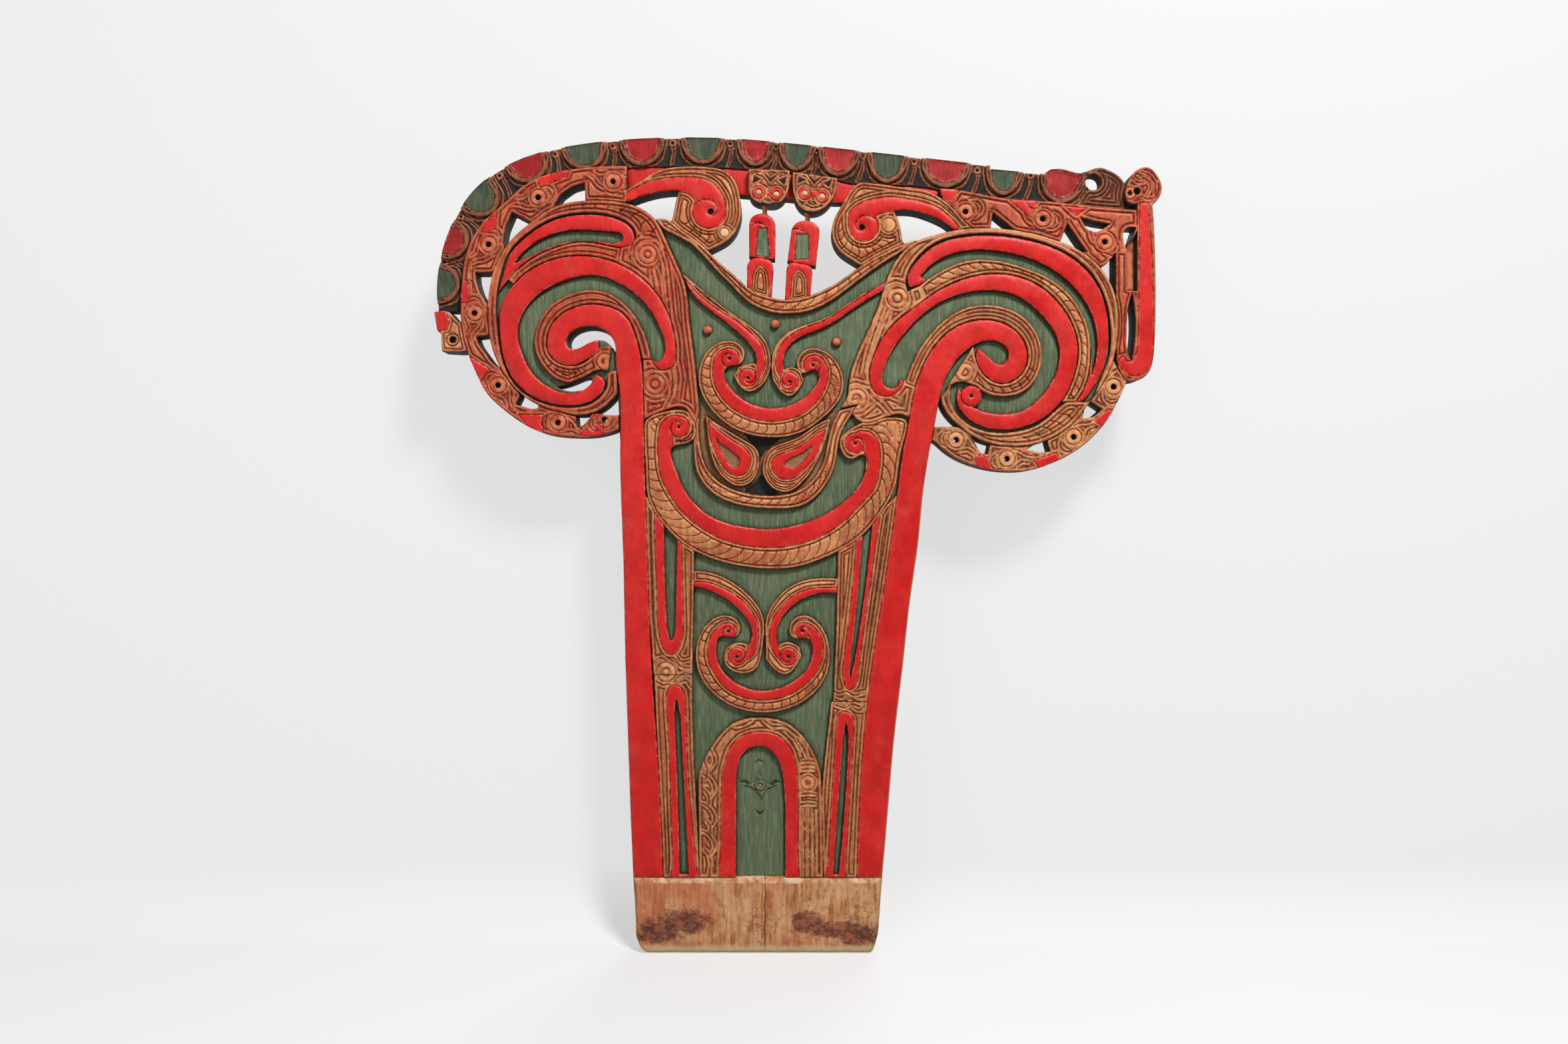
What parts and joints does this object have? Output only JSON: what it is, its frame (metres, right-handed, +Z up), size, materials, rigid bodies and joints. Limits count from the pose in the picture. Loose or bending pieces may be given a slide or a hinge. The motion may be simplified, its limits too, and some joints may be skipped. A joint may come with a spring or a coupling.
{
  "type": "canoe splashboard",
  "caption": "Carved and painted wooden splashboard: a flared stem with two scrolled volutes, openwork rims, two small figures and a scalloped frieze.",
  "frame": {"origin": "middle of the flat under the foot, in the middle plane of the slab", "axes": "+Z up the stem, -Y towards the carved front, +X to the viewer's right seen from the front"},
  "size_m": [0.7111, 0.0325, 0.799],
  "materials": {
    "bare_wood": "satin",
    "green_paint": "matte",
    "red_paint": "satin",
    "carved_wood": "satin"
  },
  "bodies": {
    "root": {"foot": "bare_wood", "stem_board": "green_paint", "left_volute_board": "green_paint", "right_volute_board": "green_paint", "panel_star": "green_paint", "left_border_rib": "red_paint", "right_border_rib": "red_paint", "left_spiral_rib": "red_paint", "left_hairpin_rib": "red_paint", "right_spiral_rib": "red_paint", "right_hairpin_rib": "red_paint", "top_rail": "red_paint", "frieze_scallops": "red_paint", "left_second_band": "carved_wood", "left_inner_band": "carved_wood", "left_outer_band": "carved_wood", "right_third_band": "carved_wood", "right_inner_band": "carved_wood", "right_outer_band": "carved_wood", "window_band": "carved_wood", "upper_left_horn": "carved_wood", "upper_right_horn": "carved_wood", "arch": "carved_wood", "lower_crescent": "carved_wood", "upper_crescent": "carved_wood", "big_crescent": "carved_wood", "lower_left_horn": "carved_wood", "lower_right_horn": "carved_wood", "left_upper_loop": "carved_wood", "left_lower_loop": "carved_wood", "right_upper_loop": "carved_wood", "right_lower_loop": "carved_wood", "left_teardrop": "carved_wood", "right_teardrop": "carved_wood", "throat_band": "carved_wood", "ground_studs": "carved_wood", "left_rim": "carved_wood", "right_upper_rim": "carved_wood", "right_lower_rim": "carved_wood", "left_inner_scroll": "carved_wood", "right_inner_scroll": "carved_wood", "scallop_frieze": "carved_wood", "left_figure_head": "carved_wood", "left_figure_body": "carved_wood", "left_figure_legs": "carved_wood", "right_figure_head": "carved_wood", "right_figure_body": "carved_wood", "right_figure_legs": "carved_wood", "left_finial": "carved_wood", "right_finial": "carved_wood"}
  },
  "joints": []
}
